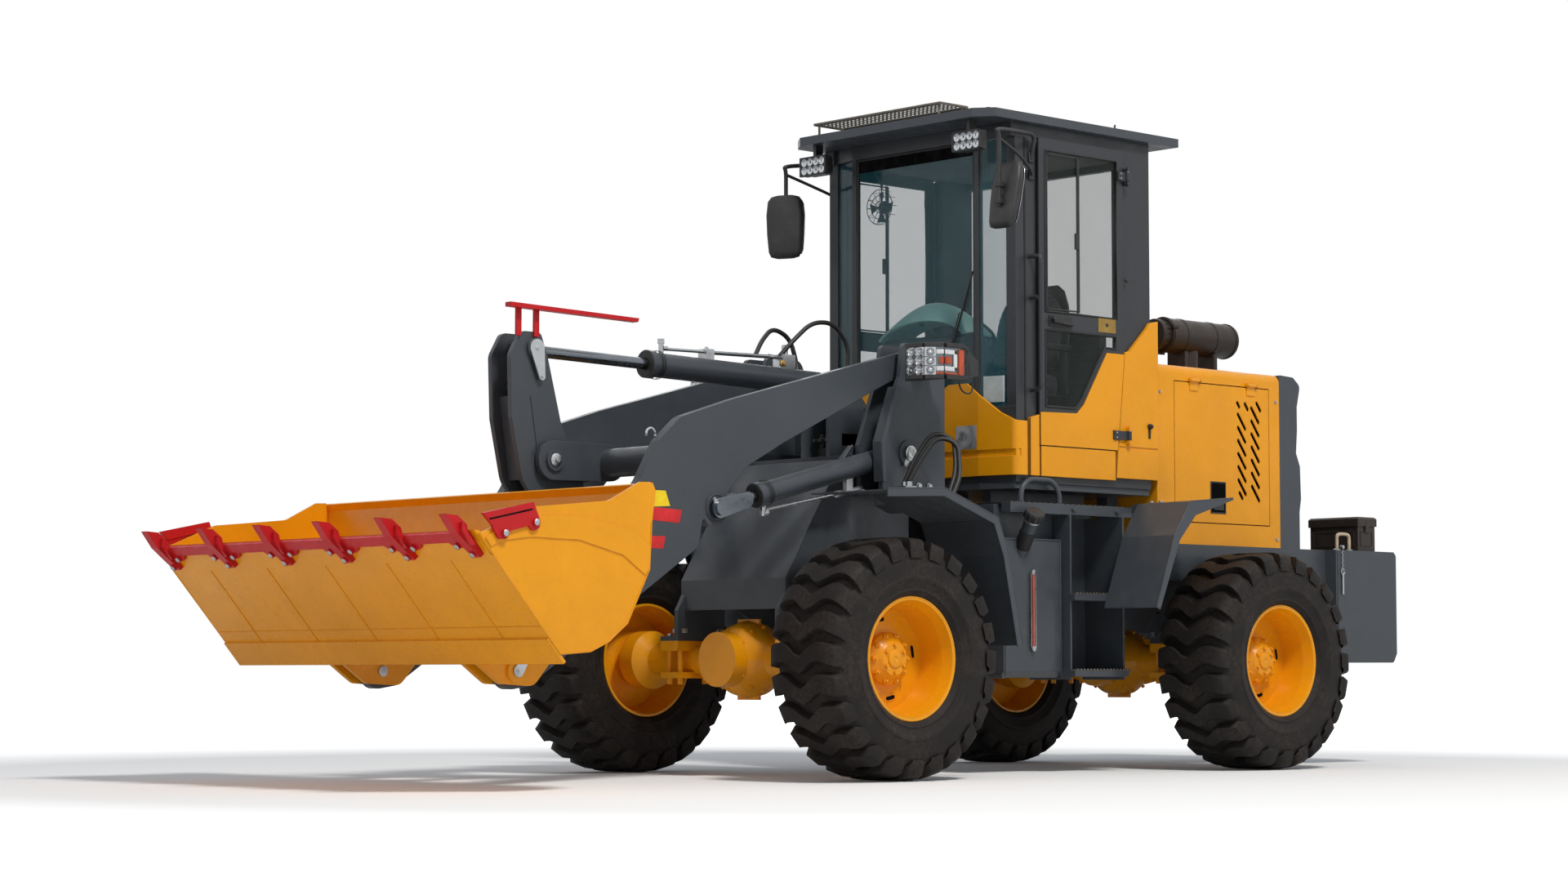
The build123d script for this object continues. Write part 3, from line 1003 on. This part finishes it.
def cab_doors():
    """Framed door with two panes, a body-colour skirt and hinge leaves."""
    h = CAB_HALF
    x1, x0 = CAB_DOOR_FRONT_X - 4, CAB_DOOR_BACK_X
    z0, z1 = CAB_SILL_Z, DOOR_TOP_Z
    skin = h + 17
    upper = [(x1 - 45, 2240), (x1 - 45, z1 - 60), (x0 + 50, z1 - 60), (x0 + 50, 2240)]
    lower = [(x1 - 45, 1775), (x1 - 45, 2150), (x0 + 60, 2150), (x0 + 60, 2090), (-1785, 2090), (-1612, 1822), (-1562, 1775)]
    skirt_line = [(x1 - 2, z0), (x1 - 2, 1745), (-1570, 1752), (-1622, 1799), (-1796, 2065), (x0, 2066), (door_back_edge(z0), z0)]
    for name, side in (("left", 1), ("right", -1)):
        panel = side_plate([(x1, z0), (x1, z1), (x0, z1), (x0, 2066), (door_back_edge(z0), z0)], h + CLEAR, skin)
        panel -= side_plate(upper, h, skin + 1)
        panel -= side_plate(lower, h, skin + 1)
        panes = side_plate(shrunk(upper, 0.2), h + 9, h + 9 + GLASS) + side_plate(shrunk(lower, 0.2), h + 9, h + 9 + GLASS)
        for z in DOOR_HINGE_Z:
            edge = door_back_edge(z)
            panel += block(DOOR_AXIS[0], edge + 45, h + PANEL + 6, h + PANEL + 12, z - 22, z + 22)
            panel += block(edge + 8, edge + 45, skin - 4, h + PANEL + 12, z - 22, z + 22)
            panel += Pos(*DOOR_AXIS, z) * Cylinder(11, 44)
            panel -= Pos(*DOOR_AXIS, z) * Cylinder(DOOR_PIN_R + RUNNING_FIT, 60)
        skirt = side_plate(skirt_line, skin, skin + 6)
        low_z = DOOR_HINGE_Z[0]
        skirt -= block(door_back_edge(low_z) - 20, door_back_edge(low_z) + 46, skin - 1, skin + 10, low_z - 23, low_z + 23)
        pieces = [(panel, f"cab_door_{name}"), (panes, f"cab_door_glass_{name}"), (skirt, f"cab_door_skirt_{name}")]
        for shape, node in pieces:
            save(shape if side > 0 else mirror(shape, about=Plane.XZ), node)


def shrunk(line, distance):
    """Closed side-view outline, run anticlockwise, moved inward by a distance."""
    wrapped = [line[-1]] + line + [line[0]]
    return [offset_line(wrapped[i:i + 3], -distance)[1] for i in range(len(line))]


def cab_inside():
    cushion = block(-1960, -1500, -240, 240, SEAT_BASE_Z, SEAT_BASE_Z + 120)
    back = side_plate([(-1960, SEAT_BASE_Z + 120), (-1880, SEAT_BASE_Z + 120), (-1960, SEAT_BASE_Z + 690, 40),
                       (-2050, SEAT_BASE_Z + 690, 40)], -230, 230)
    save(Compound([cushion, back]), "seat")
    column = rod((-1330, 0, 1980), (-1426, 0, 2203), 26)
    dash = side_plate([(-1160, CAB_FLOOR_Z), (-1160, 2160, 60), (-1300, 2150, 40), (-1360, 2050), (-1300, 1750), (-1300, CAB_FLOOR_Z)],
                      -300, 300)
    save(dash - column, "dash_console")
    plane = Plane(origin=(-1424, 0, 2198), z_dir=(-0.43, 0, 0.9))
    wheel = plane * Torus(190, 15)
    spokes = [plane * (Rot(0, 0, 120 * i) * Pos(95, 0, 0) * Box(190, 24, 10)) for i in range(3)]
    save(column + wheel + spokes, "steering_wheel")


def cab_trim():
    arms = tube_path([(CAB_CORNER_X, 615, 3020), (-1080, 615, 3020), (-945, 769, 3020), (-945, 769, 2860)], 11, 30)
    arms += tube_path([(CAB_CORNER_X, 615, 2900), (-1100, 615, 2900), (-955, 760, 2950)], 8, 20)
    head = block(-985, -925, 680, 860, 2600, 2920)
    save(both_sides(arms + head), "mirrors")
    lamp = block(-1000, -930, 475, 595, 3000, 3090)
    save(both_sides(lamp + block(-990, -940, 525, 545, 3090, CAB_EAVES_Z)), "work_lamps")


# ---------------------------------------------------------------- sides
def side_tanks():
    body = block(TANK_FRONT_X, TANK_BACK_X, TANK_INNER_Y, TANK_OUTER_Y, TANK_BOTTOM_Z, TANK_TOP_Z)
    body = chamfer(body.edges().filter_by(Axis.X).group_by(Axis.Z)[0], 30)
    filler = rod((-1180, 640, 1060), (-1155, 745, 1215), 36) + rod((-1155, 742, 1210), (-1148, 772, 1252), 46)
    return both_sides(body + filler)


def steps():
    """Side platform beam with its handrail and two steps behind the tank."""
    beam = block(BEAM_FRONT_X, -1970, 640, 700, BEAM_Z, BEAM_Z + BEAM_DEEP)
    top = block(BEAM_FRONT_X - 20, -1970, REAR_HALF, 700, BEAM_Z + BEAM_DEEP - 8, BEAM_Z + BEAM_DEEP)
    hanger = block(-1500, -1900, REAR_HALF, REAR_HALF + 20, 470, BEAM_Z + 20)
    cheeks = [block(x, x - 12, REAR_HALF, STEP_OUTER_Y - 30, 450, BEAM_Z) for x in (-1462, -1850)]
    treads = [block(-1462, STEP_BACK_X, REAR_HALF, STEP_OUTER_Y, z, z + 30) for z in STEP_LEVELS]
    rail = tube_path([(-1155, 670, BEAM_Z + 40), (-1155, 670, 1415), (-1430, 670, 1415), (-1430, 670, BEAM_Z + 40)], 13, 90)
    tie = block(REAR_FRONT_X - 10, REAR_FRONT_X - 90, REAR_HALF, REAR_HALF + 20, 900, BEAM_Z + 20)
    foot = block(-1040, -1455, TANK_INNER_Y + 10, TANK_OUTER_Y - 60, TANK_TOP_Z, BEAM_Z + BEAM_DEEP - 8)
    return both_sides(beam + top + hanger + cheeks + treads + rail + tie + foot)


def rear_fenders():
    """Folded sheets ahead of the rear wheels, with stays to the beam and the frame."""
    line = [(-2260, 1345), (-1930, 1318), (-1810, 1150), (-1670, 800)]
    under = offset_line(line, FENDER_SHEET)
    lip = [offset_line(line, deep)[i] for i, deep in enumerate((FENDER_SHEET, 70, 44, 30))]
    sheet = side_plate(line + under[::-1], STEP_OUTER_Y + CLEAR, 1080)
    sheet += side_plate(line + lip[::-1], 1080 - FENDER_SHEET, 1080)
    stay = block(-1935, -1965, 700, 800, 1275, 1316)
    stay += front_plate([(REAR_HALF, 1040), (REAR_HALF, 1130), (760, 1334), (820, 1334), (820, 1320)], -2180, -2188)
    return both_sides(sheet + stay)


# ---------------------------------------------------------------- build
def build():
    wheels()
    save(axle(0), "front_axle")
    save(axle(REAR_X), "rear_axle")
    save(front_frame(), "front_frame")
    save(front_fenders(), "front_fenders")
    save(headlamps(), "headlamps")
    save(boom(), "boom")
    save(tilt_lever(), "tilt_lever")
    save(level_indicator(), "level_indicator")
    save(bucket_link(), "bucket_link")
    save(bucket(), "bucket")
    save(bucket_teeth() + side_cutters(), "bucket_teeth")
    loops = tower_hoses()
    save(loops, "tower_hoses")
    save(hose_fittings(loops), "hose_fittings")
    cylinder_pipes(lift_cylinders(), tilt_cylinder())
    steering_cylinders()
    save(rear_frame(), "rear_frame")
    save(counterweight(), "counterweight")
    save(tail_box(), "tail_box")
    save(engine_block(), "engine_block")
    save(hood(), "hood")
    hood_doors()
    save(rear_grille(), "rear_grille")
    save(air_cleaner(), "air_cleaner")
    save(cab_floor(), "cab_floor")
    save(cab_frame(), "cab_frame")
    save(cab_roof(), "cab_roof")
    save(cab_glass(), "cab_glass")
    save(cab_panels(), "cab_panels")
    cab_doors()
    cab_inside()
    cab_trim()
    save(side_tanks(), "side_tanks")
    save(steps(), "steps")
    save(rear_fenders(), "rear_fenders")


build()
